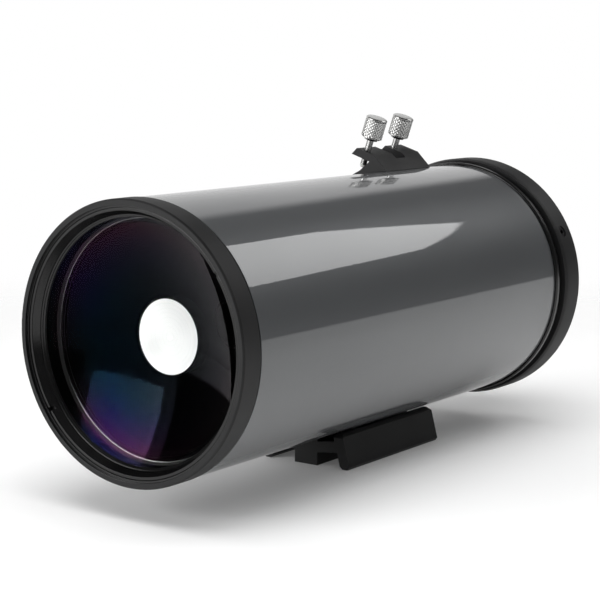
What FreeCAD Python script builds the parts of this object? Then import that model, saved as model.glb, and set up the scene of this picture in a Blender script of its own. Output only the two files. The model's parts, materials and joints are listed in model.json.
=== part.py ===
import FreeCAD, Part
import math
import os
import re

import Sketcher
from FreeCAD import Rotation, Vector

# Compact 90 mm Maksutov telescope, in millimetres.
# The origin is the middle of the dovetail foot's underside. +Y runs along the optical axis
# from the sky end to the eye end, +Z is up and the finder shoe leans towards -X.
# A "station" is a distance behind the front face; a radius is measured from the optical axis.

DIMENSIONS = {
    # where the tube sits over the foot
    "axis_height": 65.4,
    "foot_station": 147.0,
    # main tube
    "tube_radius": 52.5,
    "tube_bore": 50.7,
    "tube_front": 10.5,
    "tube_rear": 230.5,
    "spigot_radius": 50.6,
    # front cell and its retaining ring
    "cell_radius": 52.75,
    "cell_face_outer": 52.15,
    "cell_face_inner": 50.4,
    "cell_edge": 0.5,
    "cell_step": 1.0,
    "cell_bore": 49.6,
    "cell_depth": 10.1,
    "cell_neck": 51.9,
    "cell_spigot_end": 26.0,
    "seat_radius": 44.4,
    "seat_station": 17.2,
    "ring_radius": 49.5,
    "ring_front": 1.4,
    "ring_rear": 6.5,
    "ring_mouth": 48.1,
    "ring_lip": 45.8,
    "notch_width": 1.6,
    "notch_depth": 1.6,
    "notch_angle": 36.0,
    # meniscus corrector
    "lens_radius": 47.4,
    "lens_bore": 47.5,
    "lens_front": 6.9,
    "lens_front_vertex": 18.1,
    "lens_rear_vertex": 26.9,
    "lens_front_sphere": 99.5,
    "lens_rear_sphere": 104.5,
    "lens_bevel_station": 14.4,
    "gasket_gap": 0.05,
    "gasket_inner": 45.3,
    # aluminised spot and its baffle on the back of the corrector
    "spot_radius": 14.6,
    "spot_thickness": 0.15,
    "spot_baffle_bore": 14.7,
    "spot_baffle_radius": 15.5,
    "spot_baffle_end": 38.0,
    # rear end
    "collar_radius": 53.6,
    "collar_edge": 0.6,
    "collar_rear": 233.5,
    "groove_radius": 51.8,
    "rear_spigot_front": 224.0,
    "rear_spigot_bore": 47.5,
    "rear_plate_front": 236.0,
    "rear_plate_rear": 241.0,
    "rear_rim_end": 246.0,
    "cover_front": 237.0,
    "cover_lip": 54.3,
    "cover_radius": 55.1,
    "cover_lip_depth": 1.6,
    "cover_bore": 52.0,
    "cover_rear": 249.7,
    "cover_edge": 0.4,
    "cover_screw_station": 242.4,
    "cover_screw_angle": 26.0,
    # central baffle tube, which the mirror slides on
    "baffle_radius": 13.0,
    "baffle_bore": 11.6,
    "baffle_front": 112.0,
    "baffle_flange": 18.0,
    "baffle_flange_front": 231.5,
    "baffle_spigot": 14.5,
    "baffle_socket": 14.55,
    # primary mirror and the carrier that moves it
    "mirror_radius": 47.4,
    "mirror_edge_front": 201.5,
    "mirror_vertex": 204.4,
    "mirror_back": 213.5,
    "mirror_sphere": 410.0,
    "mirror_hole": 15.6,
    "pad_radius": 44.0,
    "pad_back": 214.0,
    "carrier_plate_back": 217.0,
    "carrier_radius": 46.8,
    "carrier_hub": 15.4,
    "carrier_bore": 13.05,
    "carrier_hub_front": 199.5,
    "carrier_hub_back": 226.0,
    "mirror_nut_radius": 19.0,
    "mirror_nut_front": 200.6,
    "mirror_nut_back": 203.85,
    # focuser, beside the eyepiece on the -X side
    "focus_offset": 39.0,
    "focus_thread": 3.0,
    "focus_tip": 219.0,
    "lug_radius": 7.5,
    "lug_back": 225.0,
    "nut_radius": 5.0,
    "nut_bore": 3.05,
    "nut_head": 6.5,
    "nut_back": 227.5,
    "thrust_collar": 6.0,
    "thrust_front": 232.5,
    "thrust_back": 235.5,
    "journal_radius": 4.0,
    "bushing_bore": 4.05,
    "bushing_radius": 7.0,
    "bushing_socket": 7.05,
    "bushing_front": 235.6,
    "bushing_flange": 12.5,
    "bushing_flange_back": 252.2,
    "bushing_nose": 8.5,
    "bushing_back": 253.0,
    "washer_back": 253.8,
    "knob_front": 253.9,
    "knob_back": 270.0,
    "knob_radius": 12.0,
    "knob_cap": 11.0,
    "grip_front": 256.0,
    "grip_back": 268.0,
    "grip_radius": 13.8,
    # eyepiece end
    "port_bore": 17.0,
    "port_radius": 22.0,
    "port_socket": 22.1,
    "port_back": 256.0,
    "holder_front": 250.1,
    "holder_skirt": 24.5,
    "holder_skirt_back": 258.0,
    "holder_radius": 20.5,
    "holder_back": 283.0,
    "eyepiece_bore": 15.95,
    "grip_groove_front": 274.0,
    "grip_groove_back": 279.0,
    "grip_groove_radius": 17.3,
    "clamp_ring_radius": 17.25,
    "clamp_ring_slit": 2.0,
    # dovetail foot
    "foot_length": 70.0,
    "foot_half_width": 21.9,
    "foot_flare": 15.0,
    "foot_wall": 4.5,
    "foot_edge": 1.2,
    "foot_leg_height": 14.7,
    "foot_rib": 5.7,
    "web_rise": 1.2,
    "web_bottom": 5.5,
    "web_thickness": 4.6,
    "foot_corner": 2.5,
    "tripod_hole": 3.1,
    "tripod_depth": 9.5,
    "foot_screw_spacing": 44.0,
    "foot_head_radius": 3.5,
    "foot_head_seat": 6.0,
    "foot_head_face": 2.2,
    "foot_counterbore": 3.7,
    "foot_plate_width": 13.0,
    "foot_plate_length": 62.0,
    "plate_thickness": 2.4,
    # finder shoe, seen along the tube with its own axis upwards
    "shoe_tilt": 28.0,
    "shoe_station": 192.7,
    "shoe_length": 36.5,
    "shoe_foot_side": 22.8,
    "shoe_foot_height": 48.0,
    "shoe_shoulder_side": 20.2,
    "shoe_shoulder_height": 56.4,
    "shoe_top_side": 13.5,
    "shoe_top_height": 63.2,
    "shoe_far_top_height": 60.0,
    "shoe_lip_side": 9.9,
    "shoe_lip_height": 62.2,
    "shoe_ledge_side": 16.6,
    "shoe_ledge_height": 55.1,
    "shoe_floor_side": 10.4,
    "shoe_floor_height": 53.8,
    "shoe_notch_station": 193.4,
    "shoe_notch_length": 8.1,
    "shoe_screw_spacing": 24.0,
    "shoe_plate_width": 13.0,
    "shoe_plate_length": 34.0,
    # fasteners
    "small_shank": 1.5,
    "small_hole": 1.55,
    "large_shank": 2.0,
    "large_hole": 2.1,
    "hex_small": 1.15,
    "hex_large": 1.75,
    # knurled clamp screws
    "clamp_shank": 1.5,
    "clamp_hole": 1.55,
    "clamp_tip": 1.2,
    "clamp_knob": 4.75,
    "clamp_knob_length": 9.4,
    "clamp_knob_edge": 0.6,
    "clamp_gap": 5.8,
    "clamp_reach": 4.6,
    "clamp_front_station": 178.6,
    "clamp_rear_station": 200.4,
    "eyepiece_clamp_gap": 4.2,
}

# Where the eyepiece clamp screws stand round the holder, in degrees from +X towards +Z.
EYEPIECE_CLAMPS = {"side": 0, "top": 90}
THIRD_TURN = 120

doc = FreeCAD.newDocument("maksutov_telescope")
sheet = doc.addObject("Spreadsheet::Sheet", "Dims")
parts = []


def fill_sheet():
    """Put every driving dimension in its own aliased cell."""
    for row, (alias, number) in enumerate(DIMENSIONS.items(), start=1):
        sheet.set(f"A{row}", alias)
        sheet.set(f"B{row}", str(number))
        sheet.setAlias(f"B{row}", alias)
    doc.recompute()


def bound(expression):
    """Point the names in an expression at the sheet, apart from the functions and units."""
    return re.sub(r"\b(?!cos\b|sin\b|tan\b|sqrt\b|deg\b)[a-z]\w*", r"Dims.\g<0>", expression)


def value(expression):
    """Work out an expression's number."""
    return float(sheet.evalExpression(bound(expression)))


def bind(target, **expressions):
    """Bind properties of an object to the sheet."""
    for name, expression in expressions.items():
        target.setExpression(name, bound(expression))


def station(distance):
    """The point on the optical axis at a station."""
    return Vector(0, distance - value("foot_station"), value("axis_height"))


def around_tube(angle):
    """The outward direction at an angle from +X towards +Z."""
    return Vector(math.cos(math.radians(angle)), 0, math.sin(math.radians(angle)))


def optical_placement():
    """Put a turned piece on the optical axis, with its own Y axis as the station."""
    return FreeCAD.Placement(station(0), Rotation())


def focus_placement():
    """Put a turned piece on the focus screw's axis."""
    return FreeCAD.Placement(station(0) - Vector(value("focus_offset"), 0, 0), Rotation())


def shoe_placement():
    """The finder shoe's frame: its own Z is the shoe's upward direction."""
    tilt = Rotation(Vector(0, 1, 0), -value("shoe_tilt"))
    return FreeCAD.Placement(station(value("shoe_station")), tilt)


def pointing(origin, direction):
    """Put a turned piece at a point, with its own Y axis along a direction."""
    return FreeCAD.Placement(origin, Rotation(Vector(0, 1, 0), direction))


def keep(target, label):
    """Name a finished sub-part."""
    target.Label = label
    parts.append(target)
    return target


def origin_plane(body, role):
    return next(plane for plane in body.Origin.OriginFeatures if plane.Role == role)


def outline_sketch(body, role, outline):
    """Draw a closed outline whose corners are bound to the sheet."""
    sketch = body.newObject("Sketcher::SketchObject", "Outline")
    sketch.AttachmentSupport = (origin_plane(body, role), "")
    sketch.MapMode = "FlatFace"
    corners = [Vector(value(across), value(along), 0) for across, along in outline]
    count = len(corners)
    for index in range(count):
        sketch.addGeometry(Part.LineSegment(corners[index], corners[(index + 1) % count]))
    for index in range(count):
        sketch.addConstraint(Sketcher.Constraint("Coincident", index, 2, (index + 1) % count, 1))
    for index, corner in enumerate(outline):
        for kind, expression in zip(("DistanceX", "DistanceY"), corner):
            bind_corner(sketch, index, kind, expression)
    return sketch


def bind_corner(sketch, index, kind, expression):
    """Hold one coordinate of a corner: on the sketch's axis when it is 0, else by a distance."""
    if expression == "0":
        axis = -2 if kind == "DistanceX" else -1
        sketch.addConstraint(Sketcher.Constraint("PointOnObject", index, 1, axis))
        return
    number = sketch.addConstraint(Sketcher.Constraint(kind, -1, 1, index, 1, value(expression)))
    sketch.setExpression(f"Constraints[{number}]", bound(expression))


def turned(name, outline, placement):
    """Turn an outline of (radius, station) corners about its own Y axis."""
    body = doc.addObject("PartDesign::Body", name)
    sketch = outline_sketch(body, "XY_Plane", outline)
    revolution = body.newObject("PartDesign::Revolution", "Turning")
    revolution.Profile = sketch
    revolution.ReferenceAxis = (sketch, ["V_Axis"])
    revolution.Angle = 360
    sketch.Visibility = False
    body.Placement = placement
    return body


def extruded(name, outline, length, placement):
    """Extrude an outline of (X, Z) corners both ways along the piece's own Y axis."""
    body = doc.addObject("PartDesign::Body", name)
    sketch = outline_sketch(body, "XZ_Plane", outline)
    pad = body.newObject("PartDesign::Pad", "Length")
    pad.Profile = sketch
    pad.SideType = "Symmetric"
    bind(pad, Length=length)
    body.Placement = placement
    return body


def rod(name, radius, start, end, placement):
    """A plain cylinder between two stations on its own Y axis."""
    cylinder = doc.addObject("Part::Cylinder", name)
    bind(cylinder, Radius=radius, Height=f"({end}) - ({start})")
    along = FreeCAD.Placement(Vector(0, value(start), 0), Rotation(Vector(0, 0, 1), Vector(0, 1, 0)))
    cylinder.Placement = placement.multiply(along)
    return cylinder


def block(name, sides, centre, placement):
    """A box with its sides along X, Y and Z of the placement, about a centre given in it."""
    box = doc.addObject("Part::Box", name)
    bind(box, Length=sides[0], Width=sides[1], Height=sides[2])
    half = Vector(*(value(side) / 2 for side in sides))
    box.Placement = placement.multiply(FreeCAD.Placement(centre - half, Rotation()))
    return box


def ball(name, radius, centre):
    """A sphere on the optical axis."""
    sphere = doc.addObject("Part::Sphere", name)
    bind(sphere, Radius=radius)
    sphere.Placement = FreeCAD.Placement(station(value(centre)), Rotation(Vector(1, 0, 0), 90))
    return sphere


def hexagon(name, radius, start, end, placement):
    """A hexagonal socket between two stations on its own Y axis."""
    prism = doc.addObject("Part::Prism", name)
    prism.Polygon = 6
    bind(prism, Circumradius=radius, Height=f"({end}) - ({start})")
    along = FreeCAD.Placement(Vector(0, value(start), 0), Rotation(Vector(0, 0, 1), Vector(0, 1, 0)))
    prism.Placement = placement.multiply(along)
    return prism


def cut(name, base, tools):
    """Take tools away from a piece, one after another."""
    for tool in tools:
        result = doc.addObject("Part::Cut", name)
        result.Base = base
        result.Tool = tool
        base = result
    return base


def common(name, base, tool):
    result = doc.addObject("Part::Common", name)
    result.Base = base
    result.Tool = tool
    return result


def fused(name, shapes):
    result = doc.addObject("Part::MultiFuse", name)
    result.Shapes = shapes
    return result


def group(name, members):
    """Several separate solids in one sub-part."""
    result = doc.addObject("Part::Compound", name)
    result.Links = members
    return result


# ---- front end -------------------------------------------------------------------------


def make_front_cell():
    outline = [
        ("cell_face_inner", "0"),
        ("cell_face_outer", "0"),
        ("cell_radius", "cell_edge"),
        ("cell_radius", "cell_depth - cell_edge"),
        ("cell_radius - cell_edge", "cell_depth"),
        ("cell_neck", "cell_depth"),
        ("cell_neck", "tube_front"),
        ("spigot_radius", "tube_front"),
        ("spigot_radius", "cell_spigot_end"),
        ("seat_radius", "cell_spigot_end"),
        ("seat_radius", "seat_station"),
        ("lens_bore", "seat_station"),
        ("lens_bore", "lens_front"),
        ("cell_bore", "lens_front"),
        ("cell_bore", "cell_step"),
        ("cell_face_inner", "cell_step"),
    ]
    keep(turned("FrontCell", outline, optical_placement()), "front_cell")


def make_retaining_ring():
    """The threaded ring in front of the corrector: stepped inside, with two spanner notches."""
    steps = 4
    outline = [("ring_radius", "ring_front"), ("ring_radius", "ring_rear"), ("ring_lip", "ring_rear")]
    for step in range(steps):
        inner = f"ring_lip + (ring_mouth - ring_lip) * {step} / {steps - 1}"
        outer = f"ring_lip + (ring_mouth - ring_lip) * {step + 1} / {steps - 1}"
        depth = f"ring_rear - (ring_rear - ring_front) * {step + 1} / {steps}"
        outline.append((inner, depth))
        if step < steps - 1:
            outline.append((outer, depth))
    ring = turned("RetainingRing", outline, optical_placement())
    middle = Vector((value("ring_mouth") + value("ring_radius")) / 2, value("ring_front"), 0)
    notches = []
    for angle in (value("notch_angle"), value("notch_angle") + 180):
        turn = FreeCAD.Placement(station(0), Rotation(Vector(0, 1, 0), -angle))
        sides = ("ring_radius - ring_lip", "notch_depth * 2", "notch_width")
        notches.append(block("Notch", sides, middle, turn))
    keep(cut("RetainingRingCut", ring, notches), "front_retaining_ring")


def make_corrector():
    """A steep meniscus, concave to the sky, with a wide bevel round its back edge."""
    outline = [
        ("0", "lens_front"),
        ("lens_radius", "lens_front"),
        ("lens_radius", "lens_bevel_station"),
        ("lens_radius - (lens_rear_vertex - lens_bevel_station)", "lens_rear_vertex"),
        ("0", "lens_rear_vertex"),
    ]
    blank = turned("CorrectorBlank", outline, optical_placement())
    back = ball("CorrectorBack", "lens_rear_sphere", "lens_rear_vertex - lens_rear_sphere")
    front = ball("CorrectorFront", "lens_front_sphere", "lens_front_vertex - lens_front_sphere")
    keep(cut("Corrector", common("CorrectorDome", blank, back), [front]), "meniscus_corrector")


def make_gaskets():
    front = [
        ("ring_lip + gasket_gap * 2", "ring_rear + gasket_gap"),
        ("lens_radius", "ring_rear + gasket_gap"),
        ("lens_radius", "lens_front - gasket_gap"),
        ("ring_lip + gasket_gap * 2", "lens_front - gasket_gap"),
    ]
    keep(turned("FrontGasket", front, optical_placement()), "corrector_front_gasket")
    bevel = "lens_radius + lens_bevel_station + gasket_gap"
    rear = [
        ("lens_radius", f"{bevel} - lens_radius"),
        ("lens_radius", "seat_station - gasket_gap"),
        ("gasket_inner", "seat_station - gasket_gap"),
        ("gasket_inner", f"{bevel} - gasket_inner"),
    ]
    keep(turned("RearGasket", rear, optical_placement()), "corrector_rear_gasket")


def make_secondary():
    """The mirrored spot on the back of the corrector and the baffle ring glued round it."""
    centre = "lens_rear_vertex - lens_rear_sphere"
    disc = rod("SpotDisc", "spot_radius", "lens_front_vertex", "lens_rear_vertex + 2", optical_placement())
    skin = common("SpotSkin", disc, ball("SpotOuter", "lens_rear_sphere + spot_thickness", centre))
    keep(cut("Spot", skin, [ball("SpotInner", "lens_rear_sphere", centre)]), "secondary_spot")
    outline = [
        ("spot_baffle_bore", "lens_front_vertex"),
        ("spot_baffle_radius", "lens_front_vertex"),
        ("spot_baffle_radius", "spot_baffle_end"),
        ("spot_baffle_bore", "spot_baffle_end"),
    ]
    tube = turned("SpotBaffleTube", outline, optical_placement())
    clear = ball("SpotBaffleClear", "lens_rear_sphere + gasket_gap / 5", centre)
    keep(cut("SpotBaffle", tube, [clear]), "secondary_baffle")


# ---- tube and what is screwed to it -----------------------------------------------------


def foot_screw_places():
    """Feet of the two screws that hold the dovetail, on the tube's underside."""
    half = value("foot_screw_spacing") / 2
    return [FreeCAD.Placement(Vector(0, side * half, 0), Rotation(Vector(1, 0, 0), 90)) for side in (-1, 1)]


def shoe_screw_places():
    """Feet of the two screws that hold the finder shoe, on the optical axis."""
    half = value("shoe_screw_spacing") / 2
    upright = Rotation(Vector(1, 0, 0), 90)
    turns = [FreeCAD.Placement(Vector(0, side * half, 0), upright) for side in (-1, 1)]
    return [shoe_placement().multiply(turn) for turn in turns]


def make_tube():
    outline = [
        ("tube_bore", "tube_front"),
        ("tube_radius", "tube_front"),
        ("tube_radius", "tube_rear"),
        ("tube_bore", "tube_rear"),
    ]
    tube = turned("Tube", outline, optical_placement())
    holes = [rod("FootHole", "large_hole", "0", "axis_height / 2", place) for place in foot_screw_places()]
    for place in shoe_screw_places():
        holes.append(rod("ShoeHole", "small_hole", "tube_bore - 5", "tube_radius + 5", place))
    keep(cut("TubeCut", tube, holes), "main_tube")


def backing_plate(name, width, length, placement):
    """A curved plate inside the tube, centred under the placement's own Z axis."""
    outline = [
        ("spigot_radius - plate_thickness", "0 - " + length + " / 2"),
        ("spigot_radius", "0 - " + length + " / 2"),
        ("spigot_radius", length + " / 2"),
        ("spigot_radius - plate_thickness", length + " / 2"),
    ]
    ring = turned(name + "Ring", outline, placement)
    centre = Vector(0, 0, value("spigot_radius"))
    strip = block(name + "Strip", (width, length + " + 10", "plate_thickness * 4"), centre, placement)
    return common(name, ring, strip)


def make_foot():
    """A dovetail bar with two flared legs, a web and a rib that meets the tube."""
    flare = "tan(foot_flare * 1deg)"
    leg_top = f"foot_half_width - foot_leg_height * {flare}"
    leg_inner = f"foot_half_width - foot_wall / cos(foot_flare * 1deg)"
    web_top = "web_bottom + web_thickness"
    web_side = f"{leg_inner} - (web_bottom + web_rise) * {flare}"
    web_side_top = f"{leg_inner} - ({web_top} + web_rise) * {flare}"
    half = [
        ("foot_rib", "0"),
        ("foot_rib", "web_bottom"),
        (web_side, "web_bottom + web_rise"),
        (f"{leg_inner} - foot_edge * {flare}", "foot_edge"),
        (f"{leg_inner} + foot_edge * 0.8", "0"),
        ("foot_half_width - foot_edge", "0"),
        (f"foot_half_width - foot_edge * {flare}", "foot_edge"),
        (f"{leg_top} + foot_edge * {flare}", "foot_leg_height - foot_edge"),
        (f"{leg_top} - foot_edge", "foot_leg_height"),
        (f"{leg_top} - foot_edge * 2.4", "foot_leg_height"),
        (f"{leg_inner} - (foot_leg_height - foot_edge) * {flare}", "foot_leg_height - foot_edge"),
        (web_side_top, f"{web_top} + web_rise"),
        ("foot_rib", web_top),
        ("foot_rib", "foot_leg_height"),
    ]
    mirrored = [(f"0 - ({across})", height) for across, height in reversed(half)]
    frame = FreeCAD.Placement(Vector(0, 0, 0), Rotation())
    bar = extruded("FootBar", half + mirrored, "foot_length", frame)
    seat = rod("FootSeat", "tube_radius + gasket_gap / 2", "tube_front", "tube_rear", optical_placement())
    tools = [seat]
    for side in (-1, 1):
        corner = Vector(0, side * value("foot_length") / 2, value("foot_leg_height"))
        turn = FreeCAD.Placement(corner, Rotation(Vector(1, 0, 0), 45))
        sides = ("foot_half_width * 3", "foot_corner", "foot_corner")
        tools.append(block("FootCorner", sides, Vector(0, 0, 0), turn))
    down = FreeCAD.Placement(Vector(0, 0, 0), Rotation(Vector(1, 0, 0), 90))
    tools.append(rod("TripodHole", "tripod_hole", "0 - 5", "tripod_depth", down))
    for place in foot_screw_places():
        tools.append(rod("FootClearance", "large_hole", "0 - 1", "foot_leg_height + 5", place))
        tools.append(rod("FootCounterbore", "foot_counterbore", "0 - 5", "foot_head_seat", place))
    keep(cut("Foot", bar, tools), "dovetail_bar")


def make_foot_fasteners():
    tube_floor = "axis_height - spigot_radius"
    outline = [
        ("0", "foot_head_face"),
        ("foot_head_radius - 0.3", "foot_head_face"),
        ("foot_head_radius", "foot_head_face + 0.3"),
        ("foot_head_radius", "foot_head_seat"),
        ("large_shank", "foot_head_seat"),
        ("large_shank", f"{tube_floor} + plate_thickness"),
        ("0", f"{tube_floor} + plate_thickness"),
    ]
    screws = []
    for place in foot_screw_places():
        socket = hexagon("FootSocket", "hex_large", "foot_head_face - 1", "foot_head_face + 2.2", place)
        screws.append(cut("FootScrew", turned("FootScrewBlank", outline, place), [socket]))
    keep(group("FootScrews", screws), "dovetail_screws")
    below = FreeCAD.Placement(station(value("foot_station")), Rotation(Vector(0, 1, 0), 180))
    plate = backing_plate("FootPlate", "foot_plate_width", "foot_plate_length", below)
    places = foot_screw_places()
    holes = [rod("FootPlateHole", "large_hole", "5", "axis_height / 2", place) for place in places]
    keep(cut("FootPlateCut", plate, holes), "dovetail_nut_plate")


def make_finder_shoe():
    """A dovetail shoe: leaning walls, the near one split in two by a notch, the far one lower."""
    wall = [
        ("shoe_foot_side", "shoe_foot_height"),
        ("shoe_shoulder_side", "shoe_shoulder_height"),
        ("shoe_top_side", "shoe_top_height"),
        ("shoe_lip_side", "shoe_lip_height"),
        ("shoe_ledge_side", "shoe_ledge_height"),
        ("shoe_floor_side", "shoe_floor_height"),
    ]
    base = [("shoe_foot_side", "shoe_foot_height - 4"), *wall]
    mirrored = [(f"0 - {across}", height) for across, height in reversed(base)]
    blank = extruded("ShoeBlank", base + mirrored, "shoe_length", shoe_placement())
    seat = rod("ShoeSeat", "tube_radius + gasket_gap / 2", "tube_front", "tube_rear", optical_placement())
    notch_offset = value("shoe_notch_station") - value("shoe_station")
    centre = Vector(value("shoe_foot_side"), notch_offset, value("shoe_floor_height") + 10)
    notch = block("ShoeNotch", ("shoe_foot_side", "shoe_notch_length", "20"), centre, shoe_placement())
    beyond = Vector(0 - value("shoe_foot_side"), 0, value("shoe_far_top_height") + 10)
    low_side = ("shoe_foot_side * 2", "shoe_length + 2", "20")
    tools = [seat, notch, block("ShoeFarWallTop", low_side, beyond, shoe_placement())]
    for place in shoe_screw_places():
        tools.append(rod("ShoeScrewHole", "small_hole", "tube_bore", "tube_radius + 20", place))
    for clamp_station in ("clamp_front_station", "clamp_rear_station"):
        tools.append(rod("ShoeClampHole", "clamp_hole", "0 - 2", "8", shoe_clamp_placement(clamp_station)))
    keep(cut("Shoe", blank, tools), "finder_shoe")


def make_shoe_fasteners():
    outline = [
        ("0", "spigot_radius - plate_thickness"),
        ("small_shank", "spigot_radius - plate_thickness"),
        ("small_shank", "shoe_floor_height + 0.02"),
        ("small_shank * 2", "shoe_floor_height + 0.02"),
        ("small_shank * 2", "shoe_floor_height + 0.9"),
        ("small_shank * 2 - 0.3", "shoe_floor_height + 1.2"),
        ("0", "shoe_floor_height + 1.2"),
    ]
    screws = []
    for place in shoe_screw_places():
        socket = hexagon("ShoeSocket", "hex_small", "shoe_floor_height + 0.3", "shoe_floor_height + 3", place)
        screws.append(cut("ShoeScrew", turned("ShoeScrewBlank", outline, place), [socket]))
    keep(group("ShoeScrews", screws), "finder_shoe_screws")
    plate = backing_plate("ShoePlate", "shoe_plate_width", "shoe_plate_length", shoe_placement())
    places = shoe_screw_places()
    holes = [rod("ShoePlateHole", "small_hole", "tube_bore / 2", "tube_bore + 3", place) for place in places]
    keep(cut("ShoePlateCut", plate, holes), "finder_shoe_nut_plate")


# ---- clamp screws ------------------------------------------------------------------------


def shoe_clamp_placement(clamp_station):
    """Where a clamp screw leaves the shoe's inner wall, square to the wall."""
    run = value("shoe_ledge_side - shoe_lip_side")
    rise = value("shoe_lip_height - shoe_ledge_height")
    outward = Vector(rise, 0, run).normalize()
    middle = Vector(
        value("(shoe_ledge_side + shoe_lip_side) / 2"),
        value(clamp_station) - value("shoe_station"),
        value("(shoe_ledge_height + shoe_lip_height) / 2"),
    )
    frame = shoe_placement()
    return pointing(frame.multVec(middle), frame.Rotation.multVec(outward))


def make_clamp(screw_label, tip_label, placement, wall, gap):
    """A knurled screw and its soft tip; wall is the thickness that the screw passes through."""
    under = f"{wall} + {gap}"
    top = f"{under} + clamp_knob_length"
    outline = [
        ("0", "clamp_tip + gasket_gap - clamp_reach"),
        ("clamp_shank", "clamp_tip + gasket_gap - clamp_reach"),
        ("clamp_shank", f"{under} - 0.8"),
        ("clamp_shank * 2", f"{under} - 0.8"),
        ("clamp_shank * 2", under),
        ("clamp_knob - clamp_knob_edge", under),
        ("clamp_knob", f"{under} + clamp_knob_edge"),
        ("clamp_knob", f"{top} - clamp_knob_edge"),
        ("clamp_knob - clamp_knob_edge", top),
        ("0", top),
    ]
    tip = [
        ("0", "0 - clamp_reach"),
        ("clamp_shank - 0.5", "0 - clamp_reach"),
        ("clamp_shank - 0.1", "0.4 - clamp_reach"),
        ("clamp_shank - 0.1", "clamp_tip - clamp_reach"),
        ("0", "clamp_tip - clamp_reach"),
    ]
    keep(turned("ClampScrew", outline, placement), screw_label)
    keep(turned("ClampTip", tip, placement), tip_label)


def make_finder_clamps():
    wall_run = value("shoe_top_side - shoe_lip_side")
    wall_rise = value("shoe_top_height - shoe_lip_height")
    run = value("shoe_ledge_side - shoe_lip_side")
    rise = value("shoe_lip_height - shoe_ledge_height")
    slope = math.atan2(run, rise)
    wall = str(wall_run * math.cos(slope) + wall_rise * math.sin(slope))
    for name in ("front", "rear"):
        placement = shoe_clamp_placement(f"clamp_{name}_station")
        make_clamp(f"finder_clamp_screw_{name}", f"finder_clamp_tip_{name}", placement, wall, "clamp_gap")


def eyepiece_clamp_placement(angle):
    """A clamp screw in the eyepiece holder, measured from the compression ring's outside."""
    outward = around_tube(angle)
    middle = value("(grip_groove_front + grip_groove_back) / 2")
    return pointing(station(middle) + outward * value("grip_groove_radius + clamp_reach"), outward)


# ---- rear end ----------------------------------------------------------------------------


def cover_screw_places():
    """Radial screws round the cover's rim, their own Y axis pointing outwards."""
    centre = station(value("cover_screw_station"))
    angles = [value("cover_screw_angle") + THIRD_TURN * index for index in range(3)]
    return [pointing(centre, around_tube(angle)) for angle in angles]


def make_rear_collar():
    outline = [
        ("tube_bore", "tube_rear"),
        ("collar_radius - collar_edge", "tube_rear"),
        ("collar_radius", "tube_rear + collar_edge"),
        ("collar_radius", "collar_rear - collar_edge"),
        ("collar_radius - collar_edge", "collar_rear"),
        ("tube_bore", "collar_rear"),
    ]
    keep(turned("RearCollar", outline, optical_placement()), "rear_tube_collar")


def make_rear_cell():
    outline = [
        ("baffle_socket", "rear_plate_front"),
        ("rear_spigot_bore", "rear_plate_front"),
        ("rear_spigot_bore", "rear_spigot_front"),
        ("spigot_radius", "rear_spigot_front"),
        ("spigot_radius", "collar_rear"),
        ("groove_radius", "collar_rear"),
        ("groove_radius", "rear_rim_end"),
        ("rear_spigot_bore", "rear_rim_end"),
        ("rear_spigot_bore", "rear_plate_rear"),
        ("baffle_socket", "rear_plate_rear"),
    ]
    cell = turned("RearCell", outline, optical_placement())
    tools = [rod("BushingHole", "bushing_socket", "rear_spigot_front", "cover_rear", focus_placement())]
    for place in cover_screw_places():
        tools.append(rod("RimHole", "small_hole", "rear_spigot_bore - 5", "cover_radius", place))
    keep(cut("RearCellCut", cell, tools), "rear_cell")


def make_rear_cover():
    outline = [
        ("cover_bore", "cover_front"),
        ("cover_lip", "cover_front"),
        ("cover_radius", "cover_front + cover_lip_depth"),
        ("cover_radius", "cover_rear - cover_edge"),
        ("cover_radius - cover_edge", "cover_rear"),
        ("port_socket", "cover_rear"),
        ("port_socket", "rear_rim_end"),
        ("cover_bore", "rear_rim_end"),
    ]
    cover = turned("RearCover", outline, optical_placement())
    place = focus_placement()
    tools = [rod("CoverBushingHole", "bushing_socket", "rear_spigot_front", "cover_rear + 5", place)]
    for place in cover_screw_places():
        tools.append(rod("CoverHole", "small_hole", "rear_spigot_bore", "cover_radius + 5", place))
        seat = rod("CoverHeadHole", "small_shank * 1.75", "cover_radius - 1.8", "cover_radius + 5", place)
        tools.append(seat)
    tools += [rod("CoverTappedHole", "small_shank * 0.8", "rear_rim_end - 1", "cover_rear + 5", place)
              for place in bushing_screw_places()]
    keep(cut("RearCoverCut", cover, tools), "rear_cover")


def make_cover_screws():
    outline = [
        ("0", "rear_spigot_bore + 0.4"),
        ("small_shank", "rear_spigot_bore + 0.4"),
        ("small_shank", "cover_radius - 1.78"),
        ("small_shank * 1.7", "cover_radius - 1.78"),
        ("small_shank * 1.7", "cover_radius - 0.7"),
        ("small_shank * 1.5", "cover_radius - 0.5"),
        ("0", "cover_radius - 0.5"),
    ]
    screws = []
    for place in cover_screw_places():
        socket = hexagon("CoverSocket", "hex_small", "cover_radius - 1.5", "cover_radius + 1", place)
        screws.append(cut("CoverScrew", turned("CoverScrewBlank", outline, place), [socket]))
    keep(group("CoverScrews", screws), "rear_cover_screws")


def make_baffle_tube():
    outline = [
        ("baffle_bore", "baffle_front"),
        ("baffle_radius", "baffle_front"),
        ("baffle_radius", "baffle_flange_front"),
        ("baffle_flange", "baffle_flange_front"),
        ("baffle_flange", "rear_plate_front"),
        ("baffle_spigot", "rear_plate_front"),
        ("baffle_spigot", "rear_plate_rear"),
        ("baffle_bore", "rear_plate_rear"),
    ]
    keep(turned("BaffleTube", outline, optical_placement()), "primary_baffle_tube")


# ---- mirror and focuser ------------------------------------------------------------------


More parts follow.
